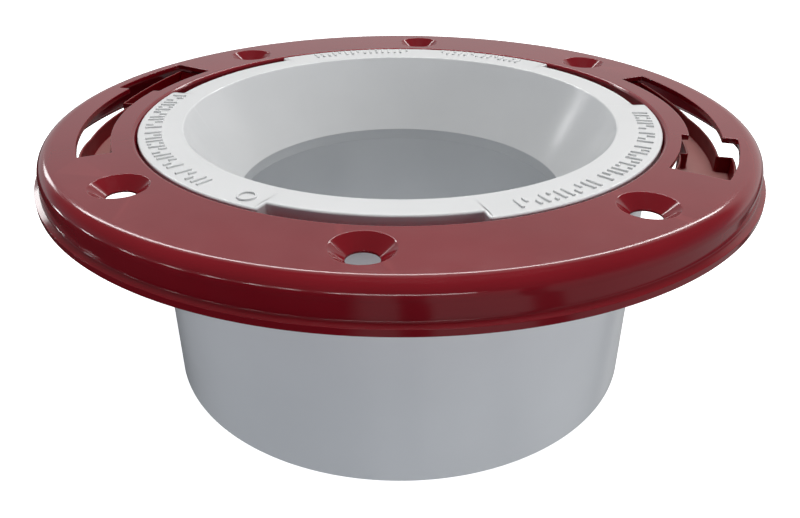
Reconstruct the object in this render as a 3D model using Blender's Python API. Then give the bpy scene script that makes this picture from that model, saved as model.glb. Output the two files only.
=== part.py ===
"""Closet flange for a 4 inch drain: a PVC hub that a pipe is glued into, and a painted steel ring that
turns freely on it under three moulded tabs, so that its two bolt tracks can be lined up with a toilet.

Metres, +Z up. The origin is the middle of the hub's bottom edge, on the axis of the drain. At rest the
two bolt slots lie on the X axis.
"""

import math

import bmesh
import bpy
from mathutils import Matrix

MM = 0.001
TURN_STEPS = 108  # facets round a full turn; every tab and gap edge falls on one of them
FILLET_STEPS = 4
CLEARANCE = 1.0  # how far a cutter reaches beyond what it cuts, in millimetres

# Hub: radii from the axis and heights from its bottom edge, in millimetres.
HUB_R = 63.2
SOCKET_MOUTH_R = 57.36
SOCKET_END_R = 57.06
SOCKET_DEPTH = 44.05
BORE_R = 43.15
BORE_LAND_TOP = 47.25
FUNNEL_R = 54.5
HUB_TOP = 67.3
NECK_R = 61.95
LEDGE_R = 66.0
LEDGE_TOP = 61.9
LEDGE_THICKNESS = 3.6
EDGE = 0.5  # chamfers and small roundings of the moulding

# Retaining tabs: three, with a gap after each.
TABS = 3
TAB_R = 65.2
TAB_THICKNESS = 3.3
GAP_ANGLE = 40
GAP_DEPTH = 3.9  # the gaps go a little below the tabs
FIRST_GAP = 30  # direction of the middle of one gap, in degrees from +X

# Ring: pressed from sheet, an upside-down channel with a lip under the hub's tabs.
RING_TOP = 67.3
SHEET = 1.3
BEND_IN_R = 2.4
BEND_OUT_R = 3.6
WALL_IN_R = 65.6
WALL_OUT_R = 87.6
BEAD_R = 89.0
BEAD_START = 60.5
RING_BOTTOM = 58.25
RIM_EDGE = 0.9  # thickness of the rim's lower edge
LIP_R = 62.6
LIP_TOP = 63.5
LIP_BEND = 0.5

# Countersunk screw holes, pressed down into the ring.
SCREW_HOLE_ANGLES = (45, 90, 135, 225, 270, 315)
HOLE_CIRCLE_R = 74.8
SCREW_SINK_R = 6.25
SCREW_HOLE_R = 3.2
SCREW_SINK_DEPTH = 2.5
SCREW_HOLE_EDGE = 0.4  # height of the straight edge below the countersink
SCREW_BOSS_WALL = 1.0
SCREW_STEPS = 24

# Keyhole bolt slots: a narrow run and, at one end, a wide one that the bolt's head goes in through.
# Angles count anticlockwise from each slot's direction.
SLOT_DIRECTIONS = {"right": 0, "left": 180}
SLOT_NARROW_END = 29.4
SLOT_STEP = -9.75
SLOT_WIDE_END = -28.5
SLOT_NARROW = (71.2, 78.7)
SLOT_WIDE = (69.4, 82.0)
SLOT_ARC_STEPS = 12

# Bolt tracks: trays under the slots, of the same outline, welded to the ring by a foot at each end.
TRACK_SHEET = 0.6
TRACK_LIP_TOP = 62.7
TRACK_FOOT = 8.0
WELD_GAP = 0.3

PVC_COLOUR = (0.82, 0.82, 0.80, 1.0)
PAINT_COLOUR = (0.20, 0.008, 0.016, 1.0)


def clear_scene():
    for obj in list(bpy.data.objects):
        bpy.data.objects.remove(obj, do_unlink=True)


def material(name, colour, roughness, metallic=0.0):
    made = bpy.data.materials.new(name)
    made.use_nodes = True
    made.diffuse_color = colour
    shader = made.node_tree.nodes["Principled BSDF"]
    shader.inputs["Base Color"].default_value = colour
    shader.inputs["Roughness"].default_value = roughness
    shader.inputs["Metallic"].default_value = metallic
    return made


def polar(radius, degrees):
    angle = math.radians(degrees)
    return radius * math.cos(angle), radius * math.sin(angle)


def arc(centre, radius, start, end, steps=FILLET_STEPS):
    """Points (r, z) on an arc of a profile, from angle start to end in degrees."""
    angles = [start + (end - start) * i / steps for i in range(steps + 1)]
    return [(centre[0] + polar(radius, a)[0], centre[1] + polar(radius, a)[1]) for a in angles]


def mesh_object(name, bm):
    bmesh.ops.recalc_face_normals(bm, faces=bm.faces)
    mesh = bpy.data.meshes.new(name)
    bm.to_mesh(mesh)
    bm.free()
    obj = bpy.data.objects.new(name, mesh)
    bpy.context.scene.collection.objects.link(obj)
    return obj


def turned(name, profile, steps=TURN_STEPS):
    """A closed profile of (r, z) points in millimetres, turned once round the Z axis."""
    bm = bmesh.new()
    rings = []
    for i in range(steps):
        x, y = polar(MM, 360.0 * i / steps)
        rings.append([bm.verts.new((r * x, r * y, z * MM)) for r, z in profile])
    for i, ring in enumerate(rings):
        following = rings[(i + 1) % steps]
        for j in range(len(profile)):
            k = (j + 1) % len(profile)
            bm.faces.new((ring[j], following[j], following[k], ring[k]))
    return mesh_object(name, bm)


def prism(name, outline, bottom, top):
    """A closed outline of (x, y) points in millimetres, extruded from one height to another."""
    bm = bmesh.new()
    base = bm.faces.new([bm.verts.new((x * MM, y * MM, bottom * MM)) for x, y in outline])
    raised = bmesh.ops.extrude_face_region(bm, geom=[base])["geom"]
    moved = [item for item in raised if isinstance(item, bmesh.types.BMVert)]
    bmesh.ops.translate(bm, verts=moved, vec=(0, 0, (top - bottom) * MM))
    return mesh_object(name, bm)


def frustum(name, centre, bottom_r, bottom, top_r, top, steps=SCREW_STEPS):
    bm = bmesh.new()
    bmesh.ops.create_cone(
        bm,
        cap_ends=True,
        segments=steps,
        radius1=bottom_r * MM,
        radius2=top_r * MM,
        depth=(top - bottom) * MM,
        matrix=Matrix.Translation((centre[0] * MM, centre[1] * MM, (top + bottom) / 2 * MM)),
    )
    return mesh_object(name, bm)


def arc_outline(radius, start, end, steps):
    return [polar(radius, start + (end - start) * i / steps) for i in range(steps + 1)]


def sector_outline(inner, outer, start, end, steps=SLOT_ARC_STEPS):
    return arc_outline(outer, start, end, steps) + arc_outline(inner, end, start, steps)


def keyhole_outline(direction, grow=0.0, lengthen=0.0):
    """The bolt slot's outline, pointing in a direction in degrees.

    It is grown sideways by some millimetres, also at the step, and lengthened at both ends."""
    high = direction + SLOT_NARROW_END + math.degrees(lengthen / HOLE_CIRCLE_R)
    step = direction + SLOT_STEP + math.degrees(grow / HOLE_CIRCLE_R)
    low = direction + SLOT_WIDE_END - math.degrees(lengthen / HOLE_CIRCLE_R)
    narrow_in, narrow_out = SLOT_NARROW[0] - grow, SLOT_NARROW[1] + grow
    wide_in, wide_out = SLOT_WIDE[0] - grow, SLOT_WIDE[1] + grow
    short = SLOT_ARC_STEPS // 2
    return (
        arc_outline(wide_out, low, step, short)
        + arc_outline(narrow_out, step, high, SLOT_ARC_STEPS)
        + arc_outline(narrow_in, high, step, SLOT_ARC_STEPS)
        + arc_outline(wide_in, step, low, short)
    )


def combine(obj, operation, others):
    """Booleans the other objects into this one, and hides them as its cutters."""
    for other in others:
        modifier = obj.modifiers.new(operation.title() + " " + other.name, "BOOLEAN")
        modifier.operation = operation
        modifier.solver = "EXACT"
        modifier.object = other
        other.hide_render = True
        other.display_type = "WIRE"


def finish(obj, finish_material, parent):
    obj.data.materials.append(finish_material)
    obj.data.shade_smooth()
    obj.data.set_sharp_from_angle(angle=math.radians(25))
    obj.parent = parent


def hub_profile():
    tab_bottom = HUB_TOP - TAB_THICKNESS
    ledge_bottom = LEDGE_TOP - LEDGE_THICKNESS
    return [
        (SOCKET_MOUTH_R + EDGE, 0.0),
        (HUB_R - EDGE, 0.0),
        (HUB_R, EDGE),
        (HUB_R, ledge_bottom - (LEDGE_R - HUB_R)),
        (LEDGE_R, ledge_bottom),
        (LEDGE_R, LEDGE_TOP),
        (NECK_R, LEDGE_TOP),
        (NECK_R, tab_bottom),
        (TAB_R, tab_bottom),
        (TAB_R, HUB_TOP - EDGE),
        (TAB_R - EDGE, HUB_TOP),
        (FUNNEL_R + EDGE, HUB_TOP),
        (FUNNEL_R - EDGE / 2, HUB_TOP - EDGE),
        (BORE_R, BORE_LAND_TOP),
        (BORE_R, SOCKET_DEPTH),
        (SOCKET_END_R, SOCKET_DEPTH),
        (SOCKET_MOUTH_R, EDGE),
    ]


def make_hub(pvc):
    hub = turned("pvc_hub", hub_profile())
    steps = round(GAP_ANGLE * TURN_STEPS / 360)
    gaps = []
    for i in range(TABS):
        middle = FIRST_GAP + 360 / TABS * i
        start, end = middle - GAP_ANGLE / 2, middle + GAP_ANGLE / 2
        outline = sector_outline(NECK_R, LEDGE_R + CLEARANCE, start, end, steps)
        gaps.append(prism(f"tab_gap_cutter_{i + 1}", outline, HUB_TOP - GAP_DEPTH, HUB_TOP + CLEARANCE))
    combine(hub, "DIFFERENCE", gaps)
    finish(hub, pvc, None)
    return hub


def ring_profile():
    """The sheet's section: along its show side from the lip to the rim, then back along its hidden side."""
    outer_centre = (WALL_OUT_R - BEND_OUT_R, RING_TOP - BEND_OUT_R)
    inner_centre = (WALL_IN_R + BEND_IN_R, RING_TOP - BEND_IN_R)
    flare = BEAD_R - WALL_OUT_R
    lip_bottom = LIP_TOP - SHEET
    return (
        [(LIP_R, LIP_TOP), (WALL_IN_R - LIP_BEND, LIP_TOP), (WALL_IN_R, LIP_TOP + LIP_BEND)]
        + arc(inner_centre, BEND_IN_R, 180, 90)
        + arc(outer_centre, BEND_OUT_R, 90, 0)
        + [(WALL_OUT_R, BEAD_START), (BEAD_R, BEAD_START - flare), (BEAD_R, RING_BOTTOM)]
        + [(BEAD_R - RIM_EDGE, RING_BOTTOM), (WALL_OUT_R - SHEET, BEAD_START - SHEET / 3)]
        + arc(outer_centre, BEND_OUT_R - SHEET, 0, 90)
        + arc(inner_centre, BEND_IN_R - SHEET, 90, 180, 2)
        + [(WALL_IN_R + SHEET, lip_bottom + LIP_BEND + SHEET), (WALL_IN_R - LIP_BEND, lip_bottom)]
        + [(LIP_R, lip_bottom)]
    )


def make_ring(paint, axis):
    ring = turned("steel_ring", ring_profile())
    sink_bottom = RING_TOP - SCREW_SINK_DEPTH
    boss_top, boss_bottom = RING_TOP - SHEET / 2, sink_bottom - SCREW_HOLE_EDGE
    slope = (SCREW_SINK_R - SCREW_HOLE_R) / SCREW_SINK_DEPTH
    sink_top_r = SCREW_SINK_R + slope * SHEET  # the cutter carries on above the sheet
    foot_r, brim_r = SCREW_HOLE_R + SCREW_BOSS_WALL, SCREW_SINK_R + SCREW_BOSS_WALL
    hole_bottom = boss_bottom - CLEARANCE
    bosses, cutters = [], []
    for angle in SCREW_HOLE_ANGLES:
        spot = polar(HOLE_CIRCLE_R, angle)
        bosses.append(frustum(f"boss_{angle}", spot, foot_r, boss_bottom, brim_r, boss_top))
        cutters.append(frustum(f"sink_{angle}", spot, SCREW_HOLE_R, sink_bottom, sink_top_r, RING_TOP + SHEET))
        cutters.append(frustum(f"hole_{angle}", spot, SCREW_HOLE_R, hole_bottom, SCREW_HOLE_R, RING_TOP))
    for side, direction in SLOT_DIRECTIONS.items():
        outline = keyhole_outline(direction)
        cutters.append(prism(f"slot_cutter_{side}", outline, LIP_TOP + CLEARANCE, RING_TOP + CLEARANCE))
    combine(ring, "UNION", bosses)
    combine(ring, "DIFFERENCE", cutters)
    finish(ring, paint, axis)


def make_track(side, direction, paint, axis):
    """A tray under one slot, its two end walls reaching up to the sheet, and a foot beyond each."""
    name = f"bolt_track_{side}"
    foot_top = RING_TOP - SHEET - WELD_GAP
    wall_top = foot_top - TRACK_SHEET / 2
    track = prism(name, keyhole_outline(direction, lengthen=TRACK_SHEET), RING_BOTTOM, wall_top)
    inside = keyhole_outline(direction, grow=-TRACK_SHEET)
    hollow = prism(f"{name}_hollow", inside, RING_BOTTOM + TRACK_SHEET, RING_TOP)
    low, high = direction + SLOT_WIDE_END, direction + SLOT_NARROW_END
    half_wall = math.degrees(TRACK_SHEET / 2 / HOLE_CIRCLE_R)
    reach = (SLOT_WIDE[0] - CLEARANCE, SLOT_WIDE[1] + CLEARANCE)
    opening = sector_outline(*reach, low + half_wall, high - half_wall)
    trim = prism(f"{name}_trim", opening, TRACK_LIP_TOP, RING_TOP + CLEARANCE)
    feet = []
    for end, sign in ((low, -1), (high, 1)):
        near = end + sign * half_wall / 2
        far = end + sign * math.degrees(TRACK_FOOT / HOLE_CIRCLE_R)
        sides = (SLOT_NARROW[0] + TRACK_SHEET, SLOT_NARROW[1] - TRACK_SHEET)
        foot = sector_outline(*sides, near, far, FILLET_STEPS)
        feet.append(prism(f"{name}_foot_{sign}", foot, foot_top - TRACK_SHEET, foot_top))
    combine(track, "DIFFERENCE", [hollow, trim])
    combine(track, "UNION", feet)
    finish(track, paint, axis)


def main():
    clear_scene()
    pvc = material("white_pvc", PVC_COLOUR, 0.32)
    paint = material("red_paint", PAINT_COLOUR, 0.2)
    make_hub(pvc)
    axis = bpy.data.objects.new("ring_axis", None)
    axis.location = (0, 0, RING_TOP * MM)
    bpy.context.scene.collection.objects.link(axis)
    bpy.context.view_layer.update()
    make_ring(paint, axis)
    for side, direction in SLOT_DIRECTIONS.items():
        make_track(side, direction, paint, axis)
    for obj in axis.children:
        obj.matrix_parent_inverse = axis.matrix_world.inverted()


main()
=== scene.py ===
"""Looks of the closet flange: a white PVC hub, and on it a turning ring of pressed sheet steel in red paint
with two bolt tracks. Every piece is rebuilt finely on its CAD solid's dimensions, with rounded edges.

Lengths are millimetres until a mesh is made, and metres after that. Angles are degrees.
"""

import math

import bmesh
import bpy
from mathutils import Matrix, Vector


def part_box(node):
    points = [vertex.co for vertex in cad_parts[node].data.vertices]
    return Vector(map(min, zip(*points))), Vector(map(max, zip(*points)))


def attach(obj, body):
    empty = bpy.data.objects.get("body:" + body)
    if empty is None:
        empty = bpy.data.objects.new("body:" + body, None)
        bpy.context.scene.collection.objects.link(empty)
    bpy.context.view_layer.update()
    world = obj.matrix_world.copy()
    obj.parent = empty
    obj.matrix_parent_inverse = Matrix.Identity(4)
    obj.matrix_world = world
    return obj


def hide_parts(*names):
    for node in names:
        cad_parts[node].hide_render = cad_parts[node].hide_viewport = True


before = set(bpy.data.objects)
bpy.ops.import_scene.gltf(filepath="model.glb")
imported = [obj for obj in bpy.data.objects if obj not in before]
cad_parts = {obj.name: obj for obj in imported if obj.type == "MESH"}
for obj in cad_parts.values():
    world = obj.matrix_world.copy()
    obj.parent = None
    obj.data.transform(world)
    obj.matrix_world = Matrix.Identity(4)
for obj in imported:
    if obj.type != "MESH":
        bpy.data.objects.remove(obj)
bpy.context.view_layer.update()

MM = 0.001
TURN_STEPS = 480  # facets round a full turn
ARC_STEPS = 72  # facets of one arc of an outline
FILLET_STEPS = 6
SHARP_ANGLE = math.radians(35)

# Outer sizes, from the frame.
hub_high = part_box("pvc_hub")[1] / MM
ring_low, ring_high = (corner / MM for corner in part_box("steel_ring"))
HUB_TOP = hub_high.z
LEDGE_R = hub_high.x
RING_TOP = ring_high.z
RING_BOTTOM = ring_low.z
BEAD_R = ring_high.x

# Hub.
HUB_R = 63.2
SOCKET_MOUTH_R = 57.36
SOCKET_END_R = 57.06
SOCKET_DEPTH = 44.05
BORE_R = 43.15
BORE_LAND_TOP = 47.25
FUNNEL_R = 54.5
NECK_R = 61.95
LEDGE_TOP = 61.9
LEDGE_BOTTOM = 58.3
EDGE = 0.5
SMALL_FILLET = 0.3
LEDGE_FILLET = 1.5
MOUTH_FILLET = 0.8
FUNNEL_EDGE = 0.6
FUNNEL_STRIP = 2.0  # the flat strip round the funnel's edge

# Retaining tabs and the gaps between them.
TABS = 3
TAB_R = 65.2
TAB_THICKNESS = 3.3
GAP_ANGLE = 40
FIRST_GAP = 30
TAB_CORNER = 0.7

# Ring section.
SHEET = 1.3
BEND_IN_R = 1.0
BEND_OUT_R = 3.6
WALL_IN_R = 65.6
WALL_OUT_R = 87.6
FLARE_TOP = 60.4
FLARE_FILLET = 0.5
BEAD_TOP = 59.85
BEAD_CREASE = 0.12
RIM_EDGE = 0.9
RIM_FILLET = 0.2
LIP_R = 62.6
LIP_TOP = 63.5
PRESS_FILLET = 0.6
SHEET_EDGE = 0.25
LIP_BEND_IN = 1.5
RING_FILLET_STEPS = 10
SUPPORT = 0.3  # a flat strip kept beside the bends, so that the flat face shades flat
NARROW_SUPPORT = 0.03  # the same beside the inner bend, where the slots come close
UNDER_SUPPORT = 0.5  # the same under the plate

# Screw holes.
SCREW_HOLE_ANGLES = (45, 90, 135, 225, 270, 315)
HOLE_CIRCLE_R = 74.8
SCREW_SINK_R = 6.25
SCREW_HOLE_R = 3.2
SCREW_SINK_DEPTH = 2.5
SCREW_HOLE_EDGE = 0.4
SCREW_BOSS_WALL = 1.0
SINK_FILLET = 0.5
SINK_UNDER_FILLET = 0.4
SCREW_STEPS = 64
SCREW_FILLET_STEPS = 5

# Bolt slots: angles count anticlockwise from each slot's direction.
SLOT_DIRECTIONS = {"right": 0, "left": 180}
SLOT_NARROW_END = 29.4
SLOT_STEP = -9.75
SLOT_WIDE_END = -28.5
SLOT_NARROW = (71.2, 78.7)
SLOT_WIDE = (69.4, 82.0)
SLOT_CORNER = 0.35
SLOT_EDGE = 0.12
SLOT_ROUNDING = ((3, 0), (1, 0), (0.3, 0.3), (0, 1))  # points out from the slot and down, in slot edges

# Bolt tracks.
TRACK_SHEET = 0.6
TRACK_LIP_TOP = 62.7
TRACK_FOOT = 8.0
TRACK_RISE = 24.0  # length over which the lip rises at each end
TRACK_SLOPE = 2.0  # how far the end walls lean in at the floor
TRACK_LIP_EDGE = 0.15
TRACK_UNDER_EDGE = ((0.5, 0), (0.2, 0.06), (0, 0.35))  # points in from the outline and up from the underside
TRACK_FLOOR_EDGE = ((0, 0.3), (0.12, 0.08), (0.35, 0))  # the same inside, from the floor
FOOT_CORNER = 1.0
FOOT_EDGE = 0.12
WELD_GAP = 0.3

# Marks on the tabs: plain bars and dots, in rows that each start at an angle.
MARK_ROWS = {
    58: "|:,|'||,'||:|'",
    93: "'|,||:|,'||'|,:|",
    173: "|,'||:|',||,'| |,||:|,'||,'| |,'||",
    297: "|,'|:||',|| |,||:|'|,|'| |,'|",
    352: ",'||:||",
}
MARK_STEP = 1.85  # degrees from one mark to the next
MARK_R = (59.5, 63.4)
MARK_HEIGHT = 0.45
MARK_WIDTH = 0.8
MARK_CORNER = 0.12
MARK_EDGE = 0.08
MARK_DRAFT = (0.06, 0.14)  # how far the sides are in at the top edge's start and end
DOT_LENGTH = 1.1
BADGE_ANGLE = 245.5
BADGE_R = 2.1
BADGE_WIDTH = 0.5
BADGE_EDGE = 0.06

# Camera.
CAMERA_AZIMUTH = 5.0
CAMERA_ELEVATION = 29.09
CAMERA_DISTANCE = 219.3
CAMERA_TARGET_Z = 23.47
CAMERA_LENS = 34.44

# Studio. Directions are unit vectors, with y away from the camera.
LEFT_WINDOWS = (-25, -34, -46, -58, -72, -88, -104)  # azimuths
EDGE_TILT = 0.36  # how far the reflected ground's edge rises towards the camera
EDGE_LEVEL_FROM = 0.35  # the y from which that edge runs level
BACKDROP_LEAN = 0.62  # how fast the bright backdrop ends with height
BACKDROP_NARROWING = 0.5  # how fast it ends to the sides
HORIZON_DIMMING = (0.15, 0.55, 0.16, 0.0)  # z from and to, and the share of dark there
STRIP_DISTANCE = 900
FLOOR_HALF = 6000


# Points

def polar(radius, degrees):
    angle = math.radians(degrees)
    return radius * math.cos(angle), radius * math.sin(angle)


def rounded(corners, steps=FILLET_STEPS):
    """The outline through corners (x, y, radius), each rounded. A radius of 0 keeps the point."""
    points = []
    for i, (x, y, radius) in enumerate(corners):
        here = Vector((x, y))
        if radius == 0:
            points.append((x, y))
            continue
        before = (Vector(corners[i - 1][:2]) - here).normalized()
        after = (Vector(corners[(i + 1) % len(corners)][:2]) - here).normalized()
        half = before.angle(after) / 2
        centre = here + (before + after).normalized() * radius / math.sin(half)
        start = here + before * radius / math.tan(half) - centre
        end = here + after * radius / math.tan(half) - centre
        turn = start.angle(end)
        for k in range(steps + 1):
            share = k / steps
            spoke = (start * math.sin((1 - share) * turn) + end * math.sin(share * turn)) / math.sin(turn)
            points.append(tuple(centre + spoke))
    return points


def run(radius, start, end, corner, steps=ARC_STEPS):
    """Corners along an arc about the axis: its two ends are rounded to a radius, and the rest lies on it."""
    margin = math.copysign(math.degrees(2 * corner / radius), end - start)
    inner_start, inner_end = start + margin, end - margin
    middle = [inner_start + (inner_end - inner_start) * i / steps for i in range(steps + 1)]
    return (
        [(*polar(radius, start), corner)]
        + [(*polar(radius, angle), 0) for angle in middle]
        + [(*polar(radius, end), corner)]
    )


def keyhole(direction, lengthen=0.0):
    """The bolt slot's outline, lengthened at both ends by some millimetres."""
    extra = math.degrees(lengthen / HOLE_CIRCLE_R)
    high = direction + SLOT_NARROW_END + extra
    step = direction + SLOT_STEP
    low = direction + SLOT_WIDE_END - extra
    return rounded(
        run(SLOT_WIDE[1], low, step, SLOT_CORNER)
        + run(SLOT_NARROW[1], step, high, SLOT_CORNER)
        + run(SLOT_NARROW[0], high, step, SLOT_CORNER)
        + run(SLOT_WIDE[0], step, low, SLOT_CORNER)
    )


def tab_outline():
    """The hub's outline seen from above: the tabs, and the neck in the gaps between them."""
    corners = []
    for i in range(TABS):
        middle = FIRST_GAP + 360 / TABS * (i + 0.5)
        half = (360 / TABS - GAP_ANGLE) / 2
        corners += run(TAB_R, middle - half, middle + half, TAB_CORNER)
        corners += run(NECK_R, middle + half, middle + half + GAP_ANGLE, TAB_CORNER / 2)
    return rounded(corners)


def offset(points, distance):
    """An anticlockwise outline moved outwards."""
    moved = []
    for i, point in enumerate(points):
        along = Vector(points[(i + 1) % len(points)]) - Vector(points[i - 1])
        outwards = Vector((along.y, -along.x)).normalized()
        moved.append(tuple(Vector(point) + outwards * distance))
    return moved


# Meshes

def add_loop(bm, points, heights):
    """Vertices at (x, y) points in millimetres, at one height or at a height for each."""
    if not isinstance(heights, list):
        heights = [heights] * len(points)
    return [bm.verts.new((x * MM, y * MM, z * MM)) for (x, y), z in zip(points, heights)]


def bridge(bm, loops):
    for lower, upper in zip(loops, loops[1:]):
        for i in range(len(lower)):
            k = (i + 1) % len(lower)
            bm.faces.new((lower[i], lower[k], upper[k], upper[i]))


def turned_loops(bm, section, centre=(0.0, 0.0), steps=TURN_STEPS):
    loops = []
    for r, z in section:
        spokes = [polar(r, 360 * i / steps) for i in range(steps)]
        loops.append(add_loop(bm, [(centre[0] + x, centre[1] + y) for x, y in spokes], z))
    return loops


def fill(bm, loops):
    """A flat face between closed loops, the inner ones being its holes."""
    edges = []
    for loop in loops:
        for i, vert in enumerate(loop):
            following = loop[(i + 1) % len(loop)]
            edges.append(bm.edges.get((vert, following)) or bm.edges.new((vert, following)))
    bmesh.ops.triangle_fill(bm, use_beauty=True, use_dissolve=False, edges=edges)


def piece(name, bm, material, body, nodes=()):
    """The finished mesh as an object that rides on a body."""
    bmesh.ops.remove_doubles(bm, verts=bm.verts, dist=1e-7)
    bmesh.ops.dissolve_degenerate(bm, edges=bm.edges, dist=1e-7)
    bmesh.ops.recalc_face_normals(bm, faces=bm.faces)
    for face in bm.faces:
        face.smooth = len(face.verts) == 4  # the triangles only fill flat faces
    for edge in bm.edges:
        kinds = {face.smooth for face in edge.link_faces}
        edge.smooth = len(kinds) == 1 and edge.calc_face_angle(0) < SHARP_ANGLE
    mesh = bpy.data.meshes.new(name)
    bm.to_mesh(mesh)
    bm.free()
    mesh.materials.append(material)
    obj = bpy.data.objects.new(name, mesh)
    bpy.context.scene.collection.objects.link(obj)
    shading = obj.modifiers.new("Even shading", "WEIGHTED_NORMAL")
    shading.keep_sharp = True
    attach(obj, body)
    if nodes:
        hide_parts(*nodes)


def hub_body(pvc):
    bm = bmesh.new()
    tab_bottom = HUB_TOP - TAB_THICKNESS
    section = rounded([
        (NECK_R, tab_bottom, 0),
        (NECK_R, LEDGE_TOP, SMALL_FILLET),
        (LEDGE_R, LEDGE_TOP, EDGE),
        (LEDGE_R, LEDGE_BOTTOM, EDGE),
        (HUB_R, LEDGE_BOTTOM - (LEDGE_R - HUB_R), LEDGE_FILLET),
        (HUB_R, 0, MOUTH_FILLET),
        (SOCKET_MOUTH_R, 0, MOUTH_FILLET),
        (SOCKET_END_R, SOCKET_DEPTH, MOUTH_FILLET),
        (BORE_R, SOCKET_DEPTH, SMALL_FILLET),
        (BORE_R, BORE_LAND_TOP, EDGE),
        (FUNNEL_R, HUB_TOP, FUNNEL_EDGE),
        (FUNNEL_R + FUNNEL_STRIP, HUB_TOP, 0),
    ])
    outline = tab_outline()
    spokes = [math.degrees(math.atan2(y, x)) for x, y in outline]
    loops = [add_loop(bm, [polar(r, angle) for angle in spokes], z) for r, z in section]
    loops.append(add_loop(bm, offset(outline, -EDGE - SUPPORT), HUB_TOP))
    for k in range(FILLET_STEPS + 1):
        tilt = math.radians(90 * k / FILLET_STEPS)
        inset = EDGE * (1 - math.sin(tilt))
        loops.append(add_loop(bm, offset(outline, -inset), HUB_TOP - EDGE * (1 - math.cos(tilt))))
    loops.append(add_loop(bm, outline, tab_bottom))
    bridge(bm, [*loops, loops[0]])
    piece("hub_body", bm, pvc, "hub", ["pvc_hub"])


def raised_bar(bm, angle, inner, outer, width):
    """A small bar along a radius, its sides drawn in a little towards the top."""
    low, high = HUB_TOP - MARK_HEIGHT / 2, HUB_TOP + MARK_HEIGHT
    out = Vector(polar(1.0, angle))
    across = Vector((-out.y, out.x))
    loops = []
    for z, draft in ((low, 0.0), (high - MARK_EDGE, MARK_DRAFT[0]), (high, MARK_DRAFT[1])):
        half = width / 2 - draft
        corners = [
            (out * (outer - draft) - across * half),
            (out * (outer - draft) + across * half),
            (out * (inner + draft) + across * half),
            (out * (inner + draft) - across * half),
        ]
        loops.append(add_loop(bm, rounded([(*corner, MARK_CORNER) for corner in corners], 3), z))
    bridge(bm, loops)
    bm.faces.new(loops[0])
    bm.faces.new(loops[-1])


def tab_marks(pvc):
    """Generic raised marks: long bars, half bars and dots."""
    inner, outer = MARK_R
    middle = (inner + outer) / 2
    bars = {
        "|": [(inner, outer)],
        ",": [(inner, middle)],
        "'": [(middle, outer)],
        ":": [(inner, inner + DOT_LENGTH), (outer - DOT_LENGTH, outer)],
        " ": [],
    }
    bm = bmesh.new()
    for start, row in MARK_ROWS.items():
        for i, mark in enumerate(row):
            for low, high in bars[mark]:
                raised_bar(bm, start + i * MARK_STEP, low, high, MARK_WIDTH)
    centre = polar(middle, BADGE_ANGLE)
    root, top = HUB_TOP - MARK_HEIGHT / 2, HUB_TOP + MARK_HEIGHT
    badge_in = BADGE_R - BADGE_WIDTH
    badge = turned_loops(bm, [
        (BADGE_R, root), (BADGE_R, top - BADGE_EDGE), (BADGE_R - MARK_EDGE, top),
        (badge_in + MARK_EDGE, top), (badge_in, top - BADGE_EDGE), (badge_in, root),
    ], centre, SCREW_STEPS)
    bridge(bm, [*badge, badge[0]])
    piece("tab_marks", bm, pvc, "hub")


def ring_body(paint):
    bm = bmesh.new()
    under = RING_TOP - SHEET
    lip_bottom = LIP_TOP - SHEET
    plate_out, plate_in = WALL_OUT_R - BEND_OUT_R, WALL_IN_R + BEND_IN_R
    outer = turned_loops(bm, rounded([
        (plate_out - SUPPORT, RING_TOP, 0),
        (WALL_OUT_R, RING_TOP, BEND_OUT_R),
        (WALL_OUT_R, FLARE_TOP, FLARE_FILLET),
        (BEAD_R, BEAD_TOP, BEAD_CREASE),
        (BEAD_R, RING_BOTTOM, SHEET_EDGE),
        (BEAD_R - RIM_EDGE, RING_BOTTOM, RIM_FILLET),
        (WALL_OUT_R - SHEET, FLARE_TOP - PRESS_FILLET, PRESS_FILLET),
        (WALL_OUT_R - SHEET, under, BEND_OUT_R - SHEET),
        (plate_out - SUPPORT, under, 0),
    ], RING_FILLET_STEPS))
    inner = turned_loops(bm, rounded([
        (plate_in + NARROW_SUPPORT, RING_TOP, 0),
        (WALL_IN_R, RING_TOP, BEND_IN_R),
        (WALL_IN_R, LIP_TOP, PRESS_FILLET),
        (LIP_R, LIP_TOP, SHEET_EDGE),
        (LIP_R, lip_bottom, SHEET_EDGE),
        (WALL_IN_R + SHEET, lip_bottom, LIP_BEND_IN),
        (WALL_IN_R + SHEET, under, SMALL_FILLET),
        (WALL_IN_R + SHEET + UNDER_SUPPORT, under, 0),
    ], RING_FILLET_STEPS))
    chains = [outer, inner]
    sink_bottom = RING_TOP - SCREW_SINK_DEPTH
    hole_bottom = sink_bottom - SCREW_HOLE_EDGE
    for angle in SCREW_HOLE_ANGLES:
        chains.append(turned_loops(bm, rounded([
            (SCREW_SINK_R + SINK_FILLET / 2, RING_TOP, 0),
            (SCREW_SINK_R, RING_TOP, SINK_FILLET),
            (SCREW_HOLE_R, sink_bottom, SHEET_EDGE),
            (SCREW_HOLE_R, hole_bottom, SCREW_HOLE_EDGE / 4),
            (SCREW_HOLE_R + SCREW_BOSS_WALL, hole_bottom, SMALL_FILLET),
            (SCREW_SINK_R, under, SINK_UNDER_FILLET),
            (SCREW_SINK_R + SUPPORT, under, 0),
        ], SCREW_FILLET_STEPS), polar(HOLE_CIRCLE_R, angle), SCREW_STEPS))
    for direction in SLOT_DIRECTIONS.values():
        outline = keyhole(direction)
        upper = [(out * SLOT_EDGE, down * SLOT_EDGE) for out, down in SLOT_ROUNDING]
        cut = upper + [(out, SHEET - down) for out, down in reversed(upper)]
        chains.append([add_loop(bm, offset(outline, out), RING_TOP - down) for out, down in cut])
    for chain in chains:
        bridge(bm, chain)
    fill(bm, [chain[0] for chain in chains])
    fill(bm, [chain[-1] for chain in chains])
    piece("ring_body", bm, paint, "ring", ["steel_ring"])


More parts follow.
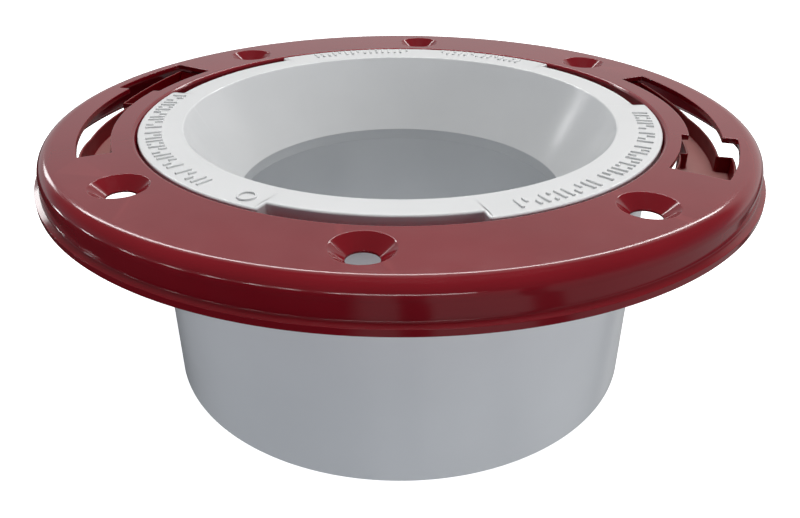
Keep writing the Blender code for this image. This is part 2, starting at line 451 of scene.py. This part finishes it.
def lip_heights(points, direction, top):
    """The tray's lip: level along the middle, and rising to the sheet towards both ends."""
    low, high = direction + SLOT_WIDE_END, direction + SLOT_NARROW_END
    middle, half = (low + high) / 2, (high - low) / 2
    heights = []
    for x, y in points:
        angle = (math.degrees(math.atan2(y, x)) - middle + 180) % 360 - 180
        from_end = math.radians(half - abs(angle)) * HOLE_CIRCLE_R
        slope = min(1.0, max(0.0, 1 - from_end / TRACK_RISE))
        heights.append(TRACK_LIP_TOP + (top - TRACK_LIP_TOP) * slope)
    return heights


def track(side, direction, paint):
    """A pressed tray under a slot, its ends sloping down from the sheet, and a welded foot beyond each."""
    bm = bmesh.new()
    foot_top = RING_TOP - SHEET - WELD_GAP
    outline = keyhole(direction, lengthen=TRACK_SHEET)
    low, high = direction + SLOT_WIDE_END, direction + SLOT_NARROW_END
    floor_top = RING_BOTTOM + TRACK_SHEET
    sloped = offset(keyhole(direction, lengthen=-TRACK_SLOPE), -TRACK_SHEET)
    tops = lip_heights(outline, direction, foot_top - TRACK_SHEET / 2)
    shoulders = [top - TRACK_LIP_EDGE for top in tops]
    loops = [add_loop(bm, offset(outline, -inset), RING_BOTTOM + rise) for inset, rise in TRACK_UNDER_EDGE]
    loops += [
        add_loop(bm, outline, shoulders),
        add_loop(bm, offset(outline, -TRACK_LIP_EDGE), tops),
        add_loop(bm, offset(outline, TRACK_LIP_EDGE - TRACK_SHEET), tops),
        add_loop(bm, offset(outline, -TRACK_SHEET), shoulders),
    ]
    loops += [add_loop(bm, offset(sloped, -inset), floor_top + rise) for inset, rise in TRACK_FLOOR_EDGE]
    bridge(bm, loops)
    fill(bm, [loops[0]])
    fill(bm, [loops[-1]])
    for end, sign in ((low, -1), (high, 1)):
        near = end + sign * math.degrees(TRACK_SHEET / 4 / HOLE_CIRCLE_R)
        far = end + sign * math.degrees(TRACK_FOOT / HOLE_CIRCLE_R)
        start, stop = min(near, far), max(near, far)
        inner_r, outer_r = SLOT_NARROW[0] + TRACK_SHEET, SLOT_NARROW[1] - TRACK_SHEET
        foot = rounded(run(outer_r, start, stop, FOOT_CORNER) + run(inner_r, stop, start, FOOT_CORNER))
        bottom = foot_top - TRACK_SHEET
        rim = offset(foot, -FOOT_EDGE)
        slab = [
            add_loop(bm, rim, bottom),
            add_loop(bm, foot, bottom + FOOT_EDGE),
            add_loop(bm, foot, foot_top - FOOT_EDGE),
            add_loop(bm, rim, foot_top),
        ]
        bridge(bm, slab)
        fill(bm, [slab[0]])
        fill(bm, [slab[-1]])
    piece(f"track_{side}", bm, paint, "ring", [f"bolt_track_{side}"])


# Materials

def noise(tree, scale, detail=3.0, roughness=0.5):
    where = tree.nodes.new("ShaderNodeTexCoord")
    made = tree.nodes.new("ShaderNodeTexNoise")
    made.inputs["Scale"].default_value = scale
    made.inputs["Detail"].default_value = detail
    made.inputs["Roughness"].default_value = roughness
    tree.links.new(where.outputs["Object"], made.inputs["Vector"])
    return made.outputs["Fac"]


def ramp(tree, fac, stops):
    made = tree.nodes.new("ShaderNodeValToRGB")
    elements = made.color_ramp.elements
    elements[0].position, elements[0].color = stops[0]
    elements[1].position, elements[1].color = stops[-1]
    for position, colour in stops[1:-1]:
        elements.new(position).color = colour
    tree.links.new(fac, made.inputs["Fac"])
    return made.outputs["Color"]


def mixed(tree, fac, first, second):
    """One colour turning into another, each an output or a constant."""
    made = tree.nodes.new("ShaderNodeMix")
    made.data_type = "RGBA"
    tree.links.new(fac, made.inputs["Factor"])
    for name, colour in (("A", first), ("B", second)):
        if isinstance(colour, tuple):
            made.inputs[name].default_value = colour
        else:
            tree.links.new(colour, made.inputs[name])
    return made.outputs["Result"]


def mapped(tree, fac, low, high, to_low, to_high):
    made = tree.nodes.new("ShaderNodeMapRange")
    tree.links.new(fac, made.inputs["Value"])
    for name, value in (("From Min", low), ("From Max", high), ("To Min", to_low), ("To Max", to_high)):
        made.inputs[name].default_value = value
    return made.outputs["Result"]


def arithmetic(tree, operation, *values):
    """A math node's result, from outputs or constants."""
    made = tree.nodes.new("ShaderNodeMath")
    made.operation = operation
    for socket, value in zip(made.inputs, values):
        if isinstance(value, float):
            socket.default_value = value
        else:
            tree.links.new(value, socket)
    return made.outputs["Value"]


def bumps(tree, layers):
    """Bump nodes one after another, from (height, strength, depth in millimetres)."""
    last = None
    for height, strength, depth in layers:
        made = tree.nodes.new("ShaderNodeBump")
        made.inputs["Strength"].default_value = strength
        made.inputs["Distance"].default_value = depth * MM
        tree.links.new(height, made.inputs["Height"])
        if last is not None:
            tree.links.new(last, made.inputs["Normal"])
        last = made.outputs["Normal"]
    return last


def grey(value):
    return (value, value, value, 1.0)


def red_paint():
    """Glossy red coating on steel: slightly uneven colour and gloss, orange peel, and paler worn edges."""
    made = bpy.data.materials.new("red_paint")
    made.use_nodes = True
    tree = made.node_tree
    shader = tree.nodes["Principled BSDF"]
    cloud = ramp(tree, noise(tree, 45, 4), [
        (0.3, (0.205, 0.0035, 0.0095, 1)), (0.7, (0.232, 0.0045, 0.0115, 1)),
    ])
    edge = tree.nodes.new("ShaderNodeNewGeometry").outputs["Pointiness"]
    worn = mapped(tree, edge, 0.53, 0.62, 0.0, 0.35)
    tree.links.new(mixed(tree, worn, cloud, (0.30, 0.02, 0.025, 1)), shader.inputs["Base Color"])
    tree.links.new(mapped(tree, noise(tree, 160, 5), 0.3, 0.7, 0.09, 0.14), shader.inputs["Roughness"])
    peel = [(noise(tree, 420, 2), 0.10, 0.03), (noise(tree, 2600, 2), 0.05, 0.01)]
    tree.links.new(bumps(tree, peel), shader.inputs["Normal"])
    shader.inputs["IOR"].default_value = 1.5
    return made


def track_paint():
    """The red on the tracks: duller than the ring's, and a paler pinkish grey where it faces up: a painted
    reflection of the bright sky.
    """
    made = bpy.data.materials.new("track_paint")
    made.use_nodes = True
    tree = made.node_tree
    shader = tree.nodes["Principled BSDF"]
    cloud = ramp(tree, noise(tree, 60, 4), [(0.3, (0.18, 0.0012, 0.005, 1)), (0.7, (0.21, 0.002, 0.007, 1))])
    facing = tree.nodes.new("ShaderNodeSeparateXYZ")
    tree.links.new(tree.nodes.new("ShaderNodeNewGeometry").outputs["Normal"], facing.inputs["Vector"])
    # Upward faces are mixed to a pinkish grey: a painted reflection of the bright sky, not a colour of the
    # paint.
    painted_reflection = mapped(tree, facing.outputs["Z"], 0.9, 0.97, 0.0, 1.0)
    tree.links.new(mixed(tree, painted_reflection, cloud, (0.32, 0.14, 0.13, 1)), shader.inputs["Base Color"])
    tree.links.new(mapped(tree, noise(tree, 180, 5), 0.3, 0.7, 0.34, 0.44), shader.inputs["Roughness"])
    tree.links.new(bumps(tree, [(noise(tree, 420, 2), 0.10, 0.03)]), shader.inputs["Normal"])
    shader.inputs["Specular IOR Level"].default_value = 0.1
    return made


def white_pvc():
    """Satin moulded PVC: faint clouding, uneven gloss, fine grain, and paler edges."""
    made = bpy.data.materials.new("white_pvc")
    made.use_nodes = True
    tree = made.node_tree
    shader = tree.nodes["Principled BSDF"]
    cloud = ramp(tree, noise(tree, 30, 4), [(0.3, (0.80, 0.80, 0.79, 1)), (0.7, (0.84, 0.84, 0.83, 1))])
    edge = tree.nodes.new("ShaderNodeNewGeometry").outputs["Pointiness"]
    worn = mapped(tree, edge, 0.53, 0.62, 0.0, 0.5)
    tree.links.new(mixed(tree, worn, cloud, (0.88, 0.88, 0.87, 1)), shader.inputs["Base Color"])
    tree.links.new(mapped(tree, noise(tree, 110, 5), 0.3, 0.7, 0.17, 0.23), shader.inputs["Roughness"])
    grain = [(noise(tree, 150, 3), 0.08, 0.05), (noise(tree, 3200, 2), 0.06, 0.012)]
    tree.links.new(bumps(tree, grain), shader.inputs["Normal"])
    shader.inputs["IOR"].default_value = 1.5
    return made


def floor_white():
    made = bpy.data.materials.new("floor_white")
    made.use_nodes = True
    shader = made.node_tree.nodes["Principled BSDF"]
    shader.inputs["Base Color"].default_value = grey(0.9)
    shader.inputs["Roughness"].default_value = 0.9
    shader.inputs["Emission Color"].default_value = grey(1.0)
    shader.inputs["Emission Strength"].default_value = 1.0
    return made


# Studio

def studio_sky():
    """A white studio: soft even light by height, and for reflections a bright backdrop behind the flange,
    a darker sky, and a patchy dark ground."""
    world = bpy.data.worlds.new("studio")
    bpy.context.scene.world = world
    world.use_nodes = True
    tree = world.node_tree
    where = tree.nodes.new("ShaderNodeTexCoord")
    split = tree.nodes.new("ShaderNodeSeparateXYZ")
    tree.links.new(where.outputs["Generated"], split.inputs["Vector"])
    height = mapped(tree, split.outputs["Z"], -1, 1, 0, 1)
    side = mapped(tree, split.outputs["X"], -1, 1, 0, 1)
    light = ramp(tree, height, [
        (0.0, (0.13, 0.14, 0.15, 1)), (0.30, (0.60, 0.64, 0.70, 1)), (0.47, (1.10, 1.14, 1.22, 1)),
        (0.53, (0.15, 0.18, 0.23, 1)), (0.75, (0.06, 0.075, 0.10, 1)), (1.0, grey(0.12)),
    ])
    backdrop = ramp(tree, side, [
        (0.0, (0.60, 0.61, 0.63, 1)), (0.5, (0.70, 0.70, 0.70, 1)), (1.0, (0.90, 0.86, 0.84, 1)),
    ])
    ground = ramp(tree, side, [
        (0.0, grey(0.02)), (0.42, grey(0.02)), (0.46, grey(0.34)), (0.53, grey(0.34)), (0.54, grey(0.03)),
        (0.60, grey(0.03)), (0.61, grey(0.40)), (0.80, grey(0.40)), (0.81, grey(0.06)), (0.85, grey(0.06)),
        (0.86, grey(0.34)), (1.0, grey(0.34)),
    ])
    overhead = ramp(tree, height, [(0.5, (0.24, 0.25, 0.28, 1)), (0.7, grey(0.15)), (1.0, grey(0.19))])
    near_horizon = mapped(tree, split.outputs["Z"], *HORIZON_DIMMING)
    backdrop = mixed(tree, near_horizon, backdrop, overhead)
    leaning = arithmetic(tree, "MULTIPLY_ADD", split.outputs["Z"], -BACKDROP_LEAN, split.outputs["Y"])
    sideways = arithmetic(tree, "ABSOLUTE", split.outputs["X"])
    inside = arithmetic(tree, "MULTIPLY_ADD", sideways, -BACKDROP_NARROWING, leaning)
    sky = mixed(tree, mapped(tree, inside, -0.12, 0.06, 0, 1), overhead, backdrop)
    depth = arithmetic(tree, "MINIMUM", split.outputs["Y"], EDGE_LEVEL_FROM)
    edge = arithmetic(tree, "MULTIPLY_ADD", depth, EDGE_TILT, split.outputs["Z"])
    above = mapped(tree, edge, -0.03, 0.03, 0, 1)
    seen_by = tree.nodes.new("ShaderNodeLightPath")
    reflected = mixed(tree, above, ground, sky)
    cast = mixed(tree, seen_by.outputs["Is Glossy Ray"], light, reflected)
    shown = mixed(tree, seen_by.outputs["Is Camera Ray"], cast, grey(1.0))
    tree.links.new(shown, tree.nodes["Background"].inputs["Color"])


def edge_elevation(azimuth):
    """Where the reflected ground ends in that direction, in degrees."""
    return math.degrees(math.atan(EDGE_TILT * math.cos(math.radians(azimuth))))


def softbox(name, azimuth, elevation, distance, width, height, power, soft=False):
    """An area light aimed at the flange from an azimuth and elevation.

    A soft one lights matt surfaces, and any other shows only as a highlight."""
    flat = distance * math.cos(math.radians(elevation)) * MM
    x, y = flat * math.sin(math.radians(azimuth)), -flat * math.cos(math.radians(azimuth))
    z = distance * math.sin(math.radians(elevation)) * MM + HUB_TOP * MM
    data = bpy.data.lights.new(name, "AREA")
    data.shape = "RECTANGLE"
    data.size, data.size_y = width * MM, height * MM
    data.energy = power
    lamp = bpy.data.objects.new(name, data)
    lamp.location = (x, y, z)
    aim = Vector((0, 0, HUB_TOP * MM)) - lamp.location
    lamp.rotation_euler = aim.to_track_quat("-Z", "Y").to_euler()
    bpy.context.scene.collection.objects.link(lamp)
    lamp.visible_diffuse = soft
    lamp.visible_glossy = not soft


def floor():
    bm = bmesh.new()
    bmesh.ops.create_grid(bm, x_segments=1, y_segments=1, size=FLOOR_HALF * MM)
    mesh = bpy.data.meshes.new("floor")
    bm.to_mesh(mesh)
    bm.free()
    mesh.materials.append(floor_white())
    ground = bpy.data.objects.new("floor", mesh)
    bpy.context.scene.collection.objects.link(ground)
    ground.visible_glossy = False
    ground.visible_diffuse = False
    ground.visible_shadow = False


def camera():
    data = bpy.data.cameras.new("camera")
    data.lens = CAMERA_LENS
    data.clip_start = MM
    eye = bpy.data.objects.new("camera", data)
    azimuth, elevation = math.radians(CAMERA_AZIMUTH), math.radians(CAMERA_ELEVATION)
    flat = math.cos(elevation)
    back = Vector((math.sin(azimuth) * flat, -math.cos(azimuth) * flat, math.sin(elevation)))
    eye.location = Vector((0, 0, CAMERA_TARGET_Z * MM)) + back * CAMERA_DISTANCE * MM
    eye.rotation_euler = (-back).to_track_quat("-Z", "Y").to_euler()
    bpy.context.scene.collection.objects.link(eye)
    bpy.context.scene.camera = eye


pvc = white_pvc()
paint = red_paint()
dull_paint = track_paint()
hub_body(pvc)
tab_marks(pvc)
ring_body(paint)
for side_name, side_direction in SLOT_DIRECTIONS.items():
    track(side_name, side_direction, dull_paint)
floor()
studio_sky()
softbox("key", 150, 78, 1500, 900, 900, 21, soft=True)
softbox("right_fill", 70, 4, 1200, 700, 500, 2.4, soft=True)
softbox("left_fill", -75, 4, 1200, 500, 500, 0.9, soft=True)
softbox("back_strip", CAMERA_AZIMUTH + 180, 40, STRIP_DISTANCE, 1500, 60, 3.4)
softbox("front_strip", CAMERA_AZIMUTH, edge_elevation(CAMERA_AZIMUTH), STRIP_DISTANCE, 620, 26, 0.8)
for window in LEFT_WINDOWS:
    softbox(f"left_window_{-window}", window, edge_elevation(window), STRIP_DISTANCE, 75, 24, 0.10)
softbox("funnel_glint", -126, 16, STRIP_DISTANCE, 90, 150, 0.22)
camera()
bpy.context.scene.view_settings.view_transform = "Standard"
